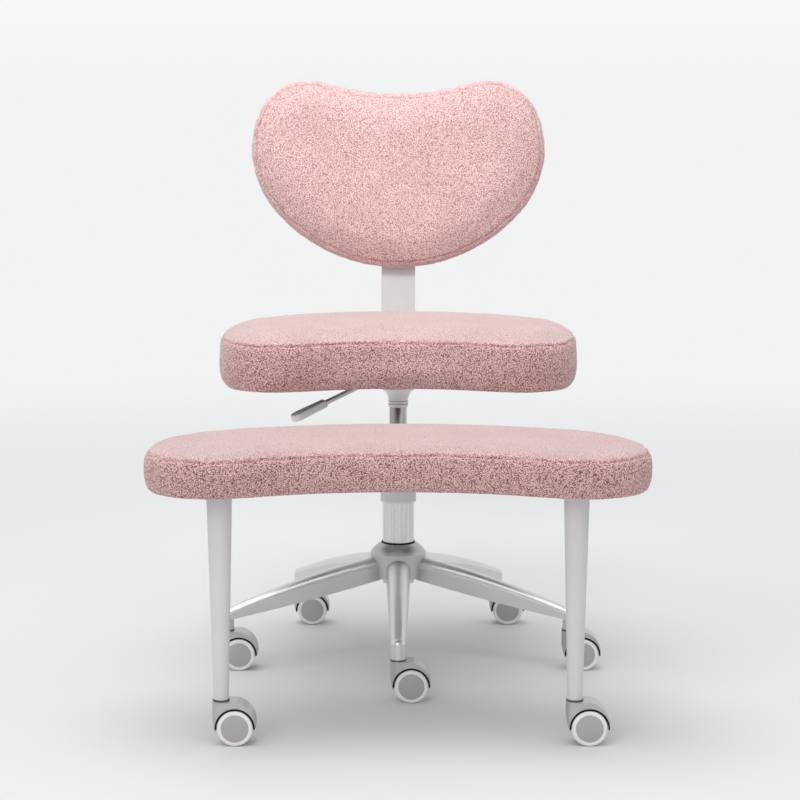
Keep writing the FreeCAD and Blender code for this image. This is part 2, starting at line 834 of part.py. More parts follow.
def lever():
    """Height lever: a bent rod on a pin, with a flat grip at its outer end."""
    slope = math.radians(lever_slope)
    along = Vector(math.cos(slope), 0, -math.sin(slope))
    tangent = lever_bend_radius * math.tan(slope / 2)
    start = Vector(-lever_inner_overhang, 0, lever_height)
    corner = Vector(lever_bend_reach, 0, lever_height)
    into = corner - Vector(tangent, 0, 0)
    out = corner + along * tangent
    centre = into - Vector(0, 0, lever_bend_radius)
    middle = centre + Vector(math.sin(slope / 2), 0, math.cos(slope / 2)) * lever_bend_radius
    grip_root = corner + along * ((grip_start - lever_bend_reach) / along.x)
    end = grip_root + along * grip_socket
    path = Part.Wire([
        Part.makeLine(start, into),
        Part.Arc(into, middle, out).toShape(),
        Part.makeLine(out, end),
    ])
    section = Part.Wire(Part.makeCircle(lever_rod_radius, start, Vector(1, 0, 0)))
    rod = path.makePipeShell([section], True, True)
    half_pin = lever_rod_radius + lever_side_gap + lever_ear
    pin_start = Vector(lever_pivot_radius, -half_pin, lever_height)
    pin_end = pin_start + Vector(0, 2 * half_pin, 0)
    rod = rod.cut(rod_between(pin_start, pin_end, lever_pin_radius + running_clearance))

    length = (grip_end - grip_start) / along.x
    straight = length - grip_end_half_width
    paddle = Part.Face(closed_wire(
        flat,
        (0, -grip_root_half_width),
        (straight, -grip_end_half_width),
        ((length, 0), (straight, grip_end_half_width)),
        (0, grip_root_half_width),
    )).extrude(Vector(0, 0, grip_thickness))
    paddle.translate(Vector(0, 0, -grip_thickness / 2))
    paddle = paddle.makeFillet(grip_round, paddle.Edges)
    paddle = paddle.cut(Part.makeCylinder(lever_rod_radius, grip_socket, Vector(0, 0, 0), Vector(1, 0, 0)))
    paddle.Placement = Placement(grip_root, Rotation(Vector(0, 1, 0), lever_slope))
    parts["lever_rod"] = turned_copy(rod, lever_heading)
    parts["lever_grip"] = turned_copy(paddle, lever_heading)
    parts["lever_pin"] = turned_copy(rod_between(pin_start, pin_end, lever_pin_radius), lever_heading)


def back_bar():
    """Flat back bar with a foot under the seat, a bend and a leaning upright; also its front face's place."""
    lean = math.radians(bar_lean)
    middle = seat_bottom - bar_thickness / 2
    centre = Vector(0, bar_bend_start, middle + bar_bend_radius)
    up = Vector(0, math.sin(lean), math.cos(lean)) * bar_length
    half_turn = math.radians((90 - bar_lean) / 2)

    def bend(radius):
        """Start, middle and end of the bend at a radius."""
        first = centre - Vector(0, 0, radius)
        turn = centre + Vector(0, math.sin(half_turn), -math.cos(half_turn)) * radius
        last = centre + Vector(0, math.cos(lean), -math.sin(lean)) * radius
        return first, turn, last

    inner = bend(bar_bend_radius - bar_thickness / 2)
    outer = bend(bar_bend_radius + bar_thickness / 2)
    foot_top = Vector(0, bar_foot_start, seat_bottom)
    foot_low = Vector(0, bar_foot_start, seat_bottom - bar_thickness)
    strip = Part.Wire([
        Part.makeLine(foot_low, outer[0]),
        Part.Arc(*outer).toShape(),
        Part.makeLine(outer[2], outer[2] + up),
        Part.makeLine(outer[2] + up, inner[2] + up),
        Part.makeLine(inner[2] + up, inner[2]),
        Part.Arc(inner[2], inner[1], inner[0]).toShape(),
        Part.makeLine(inner[0], foot_top),
        Part.makeLine(foot_top, foot_low),
    ])
    bar = Part.Face(strip).extrude(Vector(bar_width, 0, 0))
    bar.translate(Vector(-bar_width / 2, 0, 0))
    corners = []
    for edge in bar.Edges:
        if edge.Length < bar_width / 2 and edge.CenterOfMass.z > seat_bottom + bar_bend_radius:
            corners.append(edge)
    bar = bar.makeFillet(bar_end_round, corners)
    return bar, Placement(inner[2], Rotation(Vector(1, 0, 0), -bar_lean))


def seat_and_back():
    """Seat and backrest: cushions over boards, their covers, the back bar and the bolts that join them."""
    seat = Bean(
        seat_half_width,
        seat_lobe_reach,
        seat_lobe_radius,
        seat_flank_radius,
        seat_dip,
        seat_back_reach,
        seat_side_radius,
    )
    up = Vector(0, 0, 1)
    pan = seat_pan()
    bar, lean = back_bar()
    dust_cover = seat.layer(seat_board_inset, 0, dust_cover_thickness, on_seat)
    board = seat.layer(seat_board_inset, dust_cover_thickness, board_thickness, on_seat)
    foam = cushion(seat, seat_seam_height, seat_crown, on_seat).cut(dust_cover).cut(board)

    back = Bean(
        backrest_half_width,
        backrest_lobe_reach,
        backrest_lobe_radius,
        backrest_flank_radius,
        backrest_dip,
        backrest_lower_reach,
        backrest_side_radius,
    )
    panel = back.layer(rear_panel_inset, 0, rear_panel_thickness, on_back)
    back_board = back.layer(backrest_board_inset, rear_panel_thickness, board_thickness, on_back)
    pad = cushion(back, backrest_seam_depth, backrest_crown, on_back).cut(panel).cut(back_board)
    for piece in (panel, back_board, pad):
        piece.Placement = lean

    bolts = []
    flange_middle = pan_width / 2 + pan_flange / 2
    through_flange = pan_sheet + dust_cover_thickness + bolt_grip
    for x in (-flange_middle, flange_middle):
        for y in (pan_setback - pan_bolt_half_spacing, pan_setback + pan_bolt_half_spacing):
            bolts.append(bolt(Vector(x, y, seat_bottom - pan_sheet), up, through_flange))
    through_foot = bar_thickness + dust_cover_thickness + bolt_grip
    through_bar = bar_thickness + rear_panel_thickness + bolt_grip
    forward = lean.Rotation.multVec(Vector(0, -1, 0))
    for x in (-bar_bolt_half_spacing, bar_bolt_half_spacing):
        for step in (0, bar_foot_bolt_spacing):
            foot = Vector(x, bar_foot_start + bar_foot_bolt_margin + step, seat_bottom - bar_thickness)
            bolts.append(bolt(foot, up, through_foot))
        for step in (0, backrest_bolt_spacing):
            rear = lean.multVec(Vector(x, bar_thickness, bar_length - backrest_bolt_margin - step))
            bolts.append(bolt(rear, forward, through_bar))
    group = Part.makeCompound(bolts)

    parts["seat_pan"] = pan.cut(group)
    parts["seat_dust_cover"] = dust_cover.cut(group)
    parts["seat_board"] = board.cut(group)
    parts["seat_cushion"] = foam
    parts["back_bar"] = bar.cut(group)
    parts["backrest_rear_panel"] = panel.cut(group)
    parts["backrest_board"] = back_board.cut(group)
    parts["backrest_cushion"] = pad
    parts["seat_bolts"] = group


def footrest_leg():
    """Tapered footrest leg: a hollow cone with a caster socket below and a bolting flange above."""
    flange_bottom = frame_bottom - leg_flange_height
    inner_foot = leg_foot_radius - leg_wall
    inner_top = leg_top_radius - leg_wall
    plug_top = boss_bottom + leg_plug
    grow = (leg_plug / (flange_bottom - boss_bottom)) * (inner_top - inner_foot)
    leg = turned(
        (0, boss_bottom),
        (leg_foot_radius, boss_bottom),
        (leg_top_radius, flange_bottom),
        (leg_flange_radius, flange_bottom),
        (leg_flange_radius, frame_bottom),
        (inner_top, frame_bottom),
        (inner_top, flange_bottom),
        (inner_foot + grow, plug_top),
        (0, plug_top),
    )
    return leg.cut(Part.makeCylinder(stem_socket_radius, stem_socket_depth, Vector(0, 0, boss_bottom)))


def footrest():
    """Footrest: a cushion over a board, a frame plate, two legs, and an arm to a collar on the column."""
    bean = Bean(
        footrest_half_width,
        footrest_lobe_reach,
        footrest_lobe_radius,
        footrest_flank_radius,
        footrest_dip,
        footrest_back_reach,
        footrest_side_radius,
    )
    up = Vector(0, 0, 1)
    dust_cover = bean.layer(footrest_board_inset, 0, dust_cover_thickness, on_footrest)
    board = bean.layer(footrest_board_inset, dust_cover_thickness, board_thickness, on_footrest)
    foam = cushion(bean, footrest_seam_height, footrest_crown, on_footrest).cut(dust_cover).cut(board)

    end = leg_offset + leg_flange_radius
    tongue = frame_tongue_half_width
    plan = closed_wire(
        flat,
        (-leg_offset, frame_front),
        ((0, frame_front + frame_bow), (leg_offset, frame_front)),
        ((end, leg_position), (leg_offset, frame_rear)),
        (tongue, frame_rear + frame_bow),
        (tongue, frame_tongue_start),
        (-tongue, frame_tongue_start),
        (-tongue, frame_rear + frame_bow),
        (-leg_offset, frame_rear),
        ((-end, leg_position), (-leg_offset, frame_front)),
    )
    plate = slab(plan, frame_bottom, frame_sheet)

    through_plate = frame_sheet + dust_cover_thickness + bolt_grip
    bolts = []
    for x in (-frame_bolt_side, frame_bolt_side):
        for y in (frame_rear + frame_bolt_margin, frame_tongue_start - frame_bolt_margin):
            bolts.append(bolt(Vector(x, y, frame_bottom), up, through_plate))
    legs = {}
    for name, x in (("leg_left", -leg_offset), ("leg_right", leg_offset)):
        legs[name] = moved(footrest_leg(), Vector(x, leg_position, 0))
        for number in range(leg_bolt_count):
            turn = math.radians(90 + 360 * number / leg_bolt_count)
            x_bolt = x + leg_bolt_circle * math.cos(turn)
            y_bolt = leg_position + leg_bolt_circle * math.sin(turn)
            tip = Vector(x_bolt, y_bolt, frame_bottom - leg_flange_height)
            bolts.append(bolt(tip, up, leg_flange_height + through_plate))
    group = Part.makeCompound(bolts)

    arm_low = frame_bottom - footrest_arm_height
    arm_half = footrest_arm_width / 2
    arm_length = -footrest_arm_root - footrest_arm_end
    wall = footrest_arm_wall
    arm = Part.makeBox(
        footrest_arm_width,
        arm_length,
        footrest_arm_height,
        Vector(-arm_half, footrest_arm_end, arm_low),
    )
    arm = arm.cut(Part.makeBox(
        footrest_arm_width - 2 * wall,
        arm_length,
        footrest_arm_height - 2 * wall,
        Vector(-arm_half + wall, footrest_arm_end + wall, arm_low + wall),
    ))
    arm = arm.cut(Part.makeCylinder(collar_radius, frame_bottom, Vector(0, 0, 0)))

    sleeve_low = collar_bottom + collar_flange
    parts["footrest_collar"] = turned(
        (collar_bore, sleeve_low),
        (collar_radius, sleeve_low),
        (collar_radius, frame_bottom),
        (collar_bore, frame_bottom),
    )
    liner = collar_bore - collar_bush_wall
    lower_bush = turned(
        (liner, collar_bottom),
        (collar_radius, collar_bottom),
        (collar_radius, sleeve_low),
        (collar_bore, sleeve_low),
        (collar_bore, sleeve_low + collar_bush_length),
        (liner, sleeve_low + collar_bush_length),
    )
    upper_bush = turned(
        (liner, frame_bottom - collar_bush_length),
        (collar_bore, frame_bottom - collar_bush_length),
        (collar_bore, frame_bottom),
        (collar_radius, frame_bottom),
        (collar_radius, frame_bottom + collar_flange),
        (liner, frame_bottom + collar_flange),
    )
    parts["collar_bushes"] = Part.makeCompound([lower_bush, upper_bush])
    parts["footrest_arm"] = arm
    parts["footrest_frame"] = plate.cut(group)
    parts["footrest_dust_cover"] = dust_cover.cut(group)
    parts["footrest_board"] = board.cut(group)
    parts["footrest_cushion"] = foam
    for name, leg in legs.items():
        parts[name] = leg.cut(group)
    parts["footrest_bolts"] = group


parts["star_base"] = star_base()
casters()
column()
gas_cylinder()
lever()
seat_and_back()
footrest()

os.makedirs("parts", exist_ok=True)
for name, shape in parts.items():
    shape.exportStep("parts/" + name + ".step")
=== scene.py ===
import bpy
import math
import numpy as np
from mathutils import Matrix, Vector

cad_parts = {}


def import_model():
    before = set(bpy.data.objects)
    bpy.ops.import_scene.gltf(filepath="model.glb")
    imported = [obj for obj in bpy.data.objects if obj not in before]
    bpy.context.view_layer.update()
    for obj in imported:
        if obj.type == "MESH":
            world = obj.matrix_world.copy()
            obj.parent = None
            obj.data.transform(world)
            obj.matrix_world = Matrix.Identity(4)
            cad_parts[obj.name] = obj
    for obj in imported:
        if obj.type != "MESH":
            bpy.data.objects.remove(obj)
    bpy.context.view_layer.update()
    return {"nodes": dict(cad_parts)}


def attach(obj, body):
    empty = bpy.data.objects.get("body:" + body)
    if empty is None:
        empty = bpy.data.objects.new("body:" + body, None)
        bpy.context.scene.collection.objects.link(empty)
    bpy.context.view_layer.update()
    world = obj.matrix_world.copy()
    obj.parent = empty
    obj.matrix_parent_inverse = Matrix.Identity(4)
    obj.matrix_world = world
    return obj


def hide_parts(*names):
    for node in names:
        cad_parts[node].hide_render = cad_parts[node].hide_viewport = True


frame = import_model()
nodes = frame["nodes"]
scene = bpy.context.scene


# Lengths are in metres and angles in degrees. X goes to the viewer's right, Y to the chair's back and Z up.

# Shared with the CAD source
SEAT_BOTTOM = 0.449
SEAT_SEAM = 0.068
FOOTREST_BOTTOM = 0.353
FOOTREST_SEAM = 0.049
BACK_WIDEST = 0.017
BACK_SEAM_DEPTH = 0.0445
BACK_SEAM_INSET = 0.008
BAR_LEAN = math.radians(6.0)
BAR_FACE = np.array([0.0, 0.2193, 0.48168])
WHEEL_DISC_RADIUS = 0.0192
CYLINDER_RADIUS = 0.014
CASTER_TRAIL = 0.0195
HEAD_DEPTH = 0.033
HEAD_SHADOW_LINE_PITCH = 0.0045

# Small rings: inner and outer radius, then lower and upper height
WELL_STRIP_RADII = (0.0255, 0.0277)
WELL_STRIP_HEIGHTS = (-0.0008, 0.0005)
WELL_STRIP_TURN = (-3, 183)
WASHER_RADII = (0.0092, 0.0118)
WASHER_HEIGHTS = (0.0003, 0.0014)
HUB_SHADOW_RADII = (0.02515, 0.0264)
HUB_SHADOW_HEIGHTS = (-0.0016, 0.0022)
HEAD_SHADOW_LINE_RADII = (0.0152, 0.0157)
HEAD_SHADOW_LINE_HEIGHTS = (-0.0002, 0.0007)
WHOLE_TURN = (0, 360)
RING_STEPS = 64

# Blowing up the cushions
VOXEL = 0.006
OUTLINE_BAND = 0.0006
HELD_HEIGHT = 0.003
BOARD_HEIGHT = 0.017
BOARD_MARGIN = 0.006
HELD_ROUNDS = 3
SHRINK = 0.003
CLOTH_FRAMES = 20
CLOTH_PRESSURE = 4.0
CLOTH_QUALITY = 4
CLOTH_STIFFNESS = 12.0
DENT_LIMIT = -0.002
SMOOTHING_ROUNDS = 10
SUBDIVISIONS = 2
CHUNK = 20000

# Sewn edge
TOP_RISE = 0.006
UNDER_RISE = 0.004
UNDER_BOARD_HEIGHT = 0.018
UNDER_BOARD_MARGIN = 0.004
FRONT_HEIGHT = 0.02
GROOVE_WIDTH = 0.0019
GROOVE_DEPTH = 0.0019
GROOVE_WANDER = 0.0012
PUCKER_WIDTH = 0.010
PUCKER_HEIGHT = 0.0011
RIM_DROP = 0.0035
RIM_REACH = 0.03

# Pile
CURL_SIZE = 0.0034
CURL_HEIGHT = 0.0010
CURL_WARP = 0.0012
CURL_WARP_SIZE = 0.006
PILE_MIDDLE = 0.55
LAID_ON_TOP = 0.5
LAID_ON_BACK = 0.2

# Studio
FLOOR_HALF = 40.0
FLOOR_FADE = (0.8, 3.8)
HORIZON = (0.885, 0.89, 0.895)
WALL_HIGH = (0.947, 0.95, 0.95)
CAMERA_PLACE = (0.0027, -3.598, 0.888)
CAMERA_PITCH = 82.45
FOCAL_PIXELS = 2299.0
PICTURE_PIXELS = 800
SENSOR_WIDTH = 36.0

X_AXIS, Y_AXIS, Z_AXIS = (1, 0, 0), (0, 1, 0), (0, 0, 1)
WHITE = (1.0, 1.0, 1.0)
BLACK = (0.0, 0.0, 0.0)


# Noise in numpy

HASH_AXES = (374761393, 668265263, 2147483647)
HASH_SEED = 974634777
HASH_ROUNDS = ((13, 1274126177), (16, 2246822519))
HASH_LAST_SHIFT = 15
WORD = 0xFFFFFFFF


def hashed(cell, seed):
    """Repeatable random numbers from 0 to 1 for integer cells, by mixing the bits of their three coordinates."""
    c = cell.astype(np.int64)
    h = (sum(c[:, k] * HASH_AXES[k] for k in range(3)) + seed * HASH_SEED) & WORD
    for shift, factor in HASH_ROUNDS:
        h = ((h ^ (h >> shift)) * factor) & WORD
    return (h ^ (h >> HASH_LAST_SHIFT)).astype(np.float64) / WORD


def cell_noise(points, size, seed):
    """Distance from each point to the nearest jittered cell centre, in cells, and that cell's own random number."""
    scaled = points / size
    home = np.floor(scaled)
    best = np.full(len(points), np.inf)
    value = np.zeros(len(points))
    for offset in np.ndindex(3, 3, 3):
        cell = home + (np.array(offset) - 1)
        centre = cell + np.stack([hashed(cell, seed + k) for k in range(3)], 1)
        far = np.linalg.norm(scaled - centre, axis=1)
        nearer = far < best
        best = np.where(nearer, far, best)
        value = np.where(nearer, hashed(cell, seed + 5), value)
    return best, value


def soft_noise(points, size, seed):
    """Value noise from -1 to 1: random numbers at the corners of a grid, blended smoothly between them."""
    scaled = points / size
    home = np.floor(scaled)
    part = scaled - home
    part = part * part * (3 - 2 * part)
    total = np.zeros(len(points))
    for offset in np.ndindex(2, 2, 2):
        share = np.where(offset, part, 1 - part).prod(1)
        total += hashed(home + offset, seed) * share
    return 2 * total - 1


# Materials

class Finish:
    """A Principled material whose patterns use object coordinates, which are the chair's own metres."""

    def __init__(self, name, colour, roughness, metallic=0.0):
        self.material = bpy.data.materials.new(name)
        self.material.use_nodes = True
        self.nodes = self.material.node_tree.nodes
        self.links = self.material.node_tree.links
        self.shader = self.nodes["Principled BSDF"]
        self.shader.inputs["Base Color"].default_value = (*colour, 1)
        self.shader.inputs["Roughness"].default_value = roughness
        self.shader.inputs["Metallic"].default_value = metallic
        self.place = self.nodes.new("ShaderNodeTexCoord").outputs["Object"]

    def stretched(self, scale):
        """Object coordinates stretched by a scale per axis."""
        node = self.nodes.new("ShaderNodeMapping")
        node.inputs["Scale"].default_value = scale
        self.links.new(self.place, node.inputs["Vector"])
        return node.outputs["Vector"]

    def length(self, vector):
        """Length of a vector, such as the distance from the origin."""
        node = self.nodes.new("ShaderNodeVectorMath")
        node.operation = "LENGTH"
        self.links.new(vector, node.inputs[0])
        return node.outputs["Value"]

    def noise(self, scale, detail=3.0, vector=None):
        """Fractal noise, from 0 to 1."""
        node = self.nodes.new("ShaderNodeTexNoise")
        node.inputs["Scale"].default_value = scale
        node.inputs["Detail"].default_value = detail
        self.links.new(vector or self.place, node.inputs["Vector"])
        return node.outputs["Fac"]

    def cells(self, scale):
        """Distance to the nearest cell centre."""
        node = self.nodes.new("ShaderNodeTexVoronoi")
        node.inputs["Scale"].default_value = scale
        self.links.new(self.place, node.inputs["Vector"])
        return node.outputs["Distance"]

    def attribute(self, name):
        """A number kept on the mesh's points, or 0 on a mesh without it."""
        node = self.nodes.new("ShaderNodeAttribute")
        node.attribute_name = name
        return node.outputs["Fac"]

    def ramp(self, fac, stops):
        """Colours along a factor."""
        node = self.nodes.new("ShaderNodeValToRGB")
        bar = node.color_ramp
        while len(bar.elements) < len(stops):
            bar.elements.new(0.5)
        for element, (at, colour) in zip(bar.elements, stops):
            element.position = at
            element.color = (*colour, 1)
        self.links.new(fac, node.inputs["Fac"])
        return node.outputs["Color"]

    def multiplied(self, first, second, share=None):
        """Product of two colours, in full or by a share that a pattern gives."""
        node = self.nodes.new("ShaderNodeMix")
        node.data_type = "RGBA"
        node.blend_type = "MULTIPLY"
        factor = [s for s in node.inputs if s.name == "Factor" and s.type == "VALUE"][0]
        factor.default_value = 1.0
        if share is not None:
            self.links.new(share, factor)
        for name, colour in (("A", first), ("B", second)):
            socket = [s for s in node.inputs if s.name == name and s.type == "RGBA"][0]
            self.links.new(colour, socket)
        return [s for s in node.outputs if s.type == "RGBA"][0]

    def colour(self, socket):
        """Base colour taken from a pattern."""
        self.links.new(socket, self.shader.inputs["Base Color"])

    def rough(self, fac, low, high):
        """Roughness that follows a pattern between two values."""
        node = self.nodes.new("ShaderNodeMapRange")
        node.inputs["To Min"].default_value = low
        node.inputs["To Max"].default_value = high
        self.links.new(fac, node.inputs["Value"])
        self.links.new(node.outputs["Result"], self.shader.inputs["Roughness"])

    def bump(self, height, distance, strength):
        """Relief of a height pattern."""
        node = self.nodes.new("ShaderNodeBump")
        node.inputs["Distance"].default_value = distance
        node.inputs["Strength"].default_value = strength
        self.links.new(height, node.inputs["Height"])
        self.links.new(node.outputs["Normal"], self.shader.inputs["Normal"])


def linear(red, green, blue):
    """Linear colour of an sRGB triple from 0 to 255."""
    def one(v):
        v /= 255.0
        return v / 12.92 if v <= 0.04045 else ((v + 0.055) / 1.055) ** 2.4
    return one(red), one(green), one(blue)


def grey(level):
    """Linear grey of one level."""
    return level, level, level


def boucle():
    """Pink boucle fleece: pale curl tips with painted shade between them, soft cloudy mottling and fine fibres.

    Where the pile is laid, on the tops of the lying cushions, the painted shade between the curls fades and a painted
    shade deepens the pink."""
    tip, side, painted_valley_shade = linear(246, 214, 211), linear(238, 200, 197), linear(202, 149, 146)
    f = Finish("boucle", linear(226, 184, 182), 0.95)
    # Painted shade: darker pink in the valleys between the curls and in the seam's groove.
    pile = f.ramp(f.attribute("painted_shade_depth"), [(0.0, tip), (0.5, side), (1.0, painted_valley_shade)])
    # Painted shade between the fine curls, darkest where the cells meet.
    grain = f.ramp(f.cells(600.0), [(0.28, WHITE), (0.72, linear(138, 101, 99))])
    cloud = f.ramp(f.noise(14.0), [(0.3, linear(246, 244, 244)), (0.7, WHITE)])
    laid = f.attribute("laid")
    standing = f.ramp(laid, [(0.0, WHITE), (1.0, BLACK)])
    # Painted shade that darkens the tops of the lying cushions.
    painted_top_shade = f.ramp(laid, [(0.2, WHITE), (0.5, (0.77, 0.83, 0.83))])
    fleece = f.multiplied(pile, grain, standing)
    f.colour(f.multiplied(f.multiplied(fleece, cloud), painted_top_shade))
    f.shader.inputs["Sheen Weight"].default_value = 0.3
    f.shader.inputs["Sheen Roughness"].default_value = 0.5
    f.shader.inputs["Sheen Tint"].default_value = (1.0, 0.93, 0.93, 1)
    f.bump(f.noise(520.0), 0.0014, 0.7)
    return f.material


def white_paint(name, level):
    """White powder coat with a faint orange-peel relief and a slightly uneven gloss."""
    low, high = (linear(tone, tone - 2, tone - 1) for tone in (level - 4, level + 3))
    f = Finish(name, high, 0.4)
    f.colour(f.ramp(f.noise(9.0), [(0.3, low), (0.7, high)]))
    f.rough(f.noise(30.0), 0.34, 0.46)
    f.bump(f.noise(700.0, 2.0), 0.0002, 0.25)
    return f.material


def satin_white():
    """Satin silver-white enamel of the column tube, with faint streaks along it."""
    f = Finish("satin_white", (0.72, 0.72, 0.725), 0.25, 0.55)
    streaks = f.noise(1.0, 3.0, f.stretched((160.0, 160.0, 4.0)))
    f.colour(f.ramp(streaks, [(0.3, (0.64, 0.64, 0.645)), (0.7, (0.8, 0.8, 0.805))]))
    f.rough(streaks, 0.2, 0.34)
    return f.material


def polished_aluminium():
    """Satin cast aluminium: bright on the arms, darkened round the hub by painted shade, with an uneven gloss."""
    f = Finish("polished_aluminium", (0.66, 0.655, 0.66), 0.28, 1.0)
    bright = f.ramp(f.noise(12.0, 2.0), [(0.3, (0.64, 0.635, 0.64)), (0.7, (0.69, 0.685, 0.69))])
    # Painted shade round the hub: the colour darkens towards the middle.
    reach = f.length(f.stretched((10.0, 10.0, 0.0)))
    painted_hub_shade = f.ramp(reach, [(0.4, grey(0.66)), (0.62, WHITE)])
    f.colour(f.multiplied(bright, painted_hub_shade))
    f.rough(f.noise(20.0), 0.33, 0.44)
    f.bump(f.noise(500.0, 2.0), 0.00008, 0.15)
    return f.material


def chrome():
    """Chrome-plated steel with faint grinding rings round the column and dark and bright painted reflections along it.

    The painted reflections' tones go round half a turn and then repeat."""
    f = Finish("chrome", (0.5, 0.495, 0.5), 0.1, 1.0)
    around = f.nodes.new("ShaderNodeTexGradient")
    around.gradient_type = "RADIAL"
    f.links.new(f.place, around.inputs["Vector"])
    # Dark and bright tones of the painted reflections, set round the column's axis.
    tones = (0.55, 0.31, 0.37, 0.35, 0.19, 0.18, 0.49, 0.34, 0.44, 0.71)
    stops = [(0.5 * k / len(tones), grey(tone)) for k, tone in enumerate(tones)]
    stops += [(0.5 + at, shade) for at, shade in stops]
    f.colour(f.ramp(around.outputs["Fac"], stops))
    rings = f.noise(1.0, 2.0, f.stretched((20.0, 20.0, 2500.0)))
    f.rough(rings, 0.06, 0.2)
    f.bump(rings, 0.0001, 0.15)
    return f.material


def satin_steel(name, shade, metallic=1.0):
    """Satin steel with fine scratches."""
    f = Finish(name, grey(shade), 0.35, metallic)
    fine = f.noise(1.0, 3.0, f.stretched((900.0, 900.0, 60.0)))
    f.rough(fine, 0.28, 0.45)
    f.bump(fine, 0.0001, 0.2)
    return f.material


def moulded(name, colour, low=0.35, high=0.5, grain=1200.0, metallic=0.0, specular=0.5):
    """Moulded plastic with a fine grain, a slightly cloudy colour and an uneven gloss."""
    f = Finish(name, colour, (low + high) / 2, metallic)
    darker = tuple(0.93 * c for c in colour)
    f.colour(f.ramp(f.noise(40.0), [(0.3, darker), (0.7, colour)]))
    f.shader.inputs["Specular IOR Level"].default_value = specular
    f.rough(f.noise(80.0), low, high)
    f.bump(f.noise(grain, 2.0), 0.0002, 0.25)
    return f.material


def dust_cloth():
    """Black non-woven dust cloth with matted fibres."""
    f = Finish("dust_cloth", (0.012, 0.012, 0.013), 0.9)
    fibres = f.noise(900.0, 4.0)
    f.colour(f.ramp(fibres, [(0.35, (0.008, 0.008, 0.009)), (0.7, (0.03, 0.03, 0.032))]))
    f.bump(fibres, 0.0004, 0.5)
    return f.material


def plywood():
    """Plain plywood with a long grain."""
    f = Finish("plywood", linear(196, 160, 118), 0.6)
    grain = f.noise(1.0, 4.0, f.stretched((12.0, 160.0, 160.0)))
    f.colour(f.ramp(grain, [(0.3, linear(170, 130, 88)), (0.7, linear(210, 176, 132))]))
    f.bump(grain, 0.0004, 0.4)
    return f.material


# A lighter copy of the white paint: painted light for the seat's socket and the cylinder's head, which lie in shade
# under the seat.
socket_paint_with_painted_light = white_paint("socket_paint_with_painted_light", 238)
tube_paint = satin_white()
plating = chrome()
rod_steel = satin_steel("rod_steel", 0.72, 0.55)
washer_steel = satin_steel("washer_steel", 0.12)
# Black for the gaps round the hub and along the hoods' wheel wells; at the hub it is a painted shadow.
gap_black = moulded("gap_black", grey(0.006), 0.5, 0.65, specular=0.12)
# Grey of the painted shadow lines on the cylinder's head.
ring_plastic = moulded("ring_plastic", linear(136, 132, 133), 0.5, 0.65, specular=0.2)
tread = moulded("tread_white", linear(238, 235, 236), 0.38, 0.5)
disc = moulded("disc_grey", linear(176, 171, 172), 0.32, 0.45)
pink = boucle()

finish_of_slot = {
    "boucle": pink,
    "dust_cloth": dust_cloth(),
    "white_paint": white_paint("white_paint", 212),
    "base_metal": polished_aluminium(),
    "chrome": plating,
    "steel": satin_steel("satin_steel", 0.55),
    "white_plastic": moulded("white_plastic", linear(232, 230, 231)),
    "hood_silver": moulded("hood_silver", (0.51, 0.495, 0.49), 0.28, 0.42, 900.0, 0.8),
    "wheel_plastic": tread,
    "grip_plastic": moulded("grip_plastic", linear(240, 239, 238), 0.3, 0.45),
    "board": plywood(),
}
finish_of_node = {"column_tube": tube_paint, "lever_rod": rod_steel, "seat_pan": socket_paint_with_painted_light}


# Meshes

def read_points(mesh):
    """Point places and normals of a mesh."""
    places = np.empty(len(mesh.vertices) * 3)
    mesh.vertices.foreach_get("co", places)
    normals = np.empty(len(mesh.vertices) * 3)
    mesh.vertex_normals.foreach_get("vector", normals)
    return places.reshape(-1, 3), normals.reshape(-1, 3)


def write_points(mesh, places):
    """Moves a mesh's points to new places."""
    mesh.vertices.foreach_set("co", places.astype(np.float32).ravel())
    mesh.update()


def middle_of(node):
    """Middle and half size of a node's box."""
    places = read_points(node.data)[0]
    low, high = places.min(0), places.max(0)
    return (low + high) / 2, (high - low) / 2


def top_of(node):
    """Height of a node's top."""
    middle, half = middle_of(node)
    return middle[2] + half[2]


def add_object(name, mesh):
    """New object at the origin, in the scene."""
    obj = bpy.data.objects.new(name, mesh)
    scene.collection.objects.link(obj)
    return obj


def dress(obj, *materials):
    """Gives an object its materials."""
    obj.data.materials.clear()
    for material in materials:
        obj.data.materials.append(material)


# Dressing of the CAD nodes

def widest_reach(node, axis):
    """Largest distance of each face's corners from the line through the node's middle along one axis."""
    mesh = node.data
    places = read_points(mesh)[0]
    away = np.linalg.norm(np.delete(places - middle_of(node)[0], axis, 1), axis=1)
    corners = np.empty(len(mesh.loops), np.int64)
    mesh.loops.foreach_get("vertex_index", corners)
    starts = np.empty(len(mesh.polygons), np.int64)
    mesh.polygons.foreach_get("loop_start", starts)
    return np.maximum.reduceat(away[corners], starts)


def mark_faces(node, chosen):
    """Gives the chosen faces of a node its second material."""
    node.data.polygons.foreach_set("material_index", chosen.astype(np.int32))
    node.data.update()


for name, node in nodes.items():
    slot = node.data.materials[0].name.split(".")[0]
    if name.startswith("wheel_"):
        dress(node, tread, disc)
        mark_faces(node, widest_reach(node, 1) < WHEEL_DISC_RADIUS + 0.0001)
    elif name == "gas_cylinder":
        # The head's faces take the lighter socket paint, which is painted light.
        dress(node, plating, socket_paint_with_painted_light)
        mark_faces(node, widest_reach(node, 2) > CYLINDER_RADIUS + 0.0003)
    else:
        dress(node, finish_of_node.get(name, finish_of_slot[slot]))


# Small rings

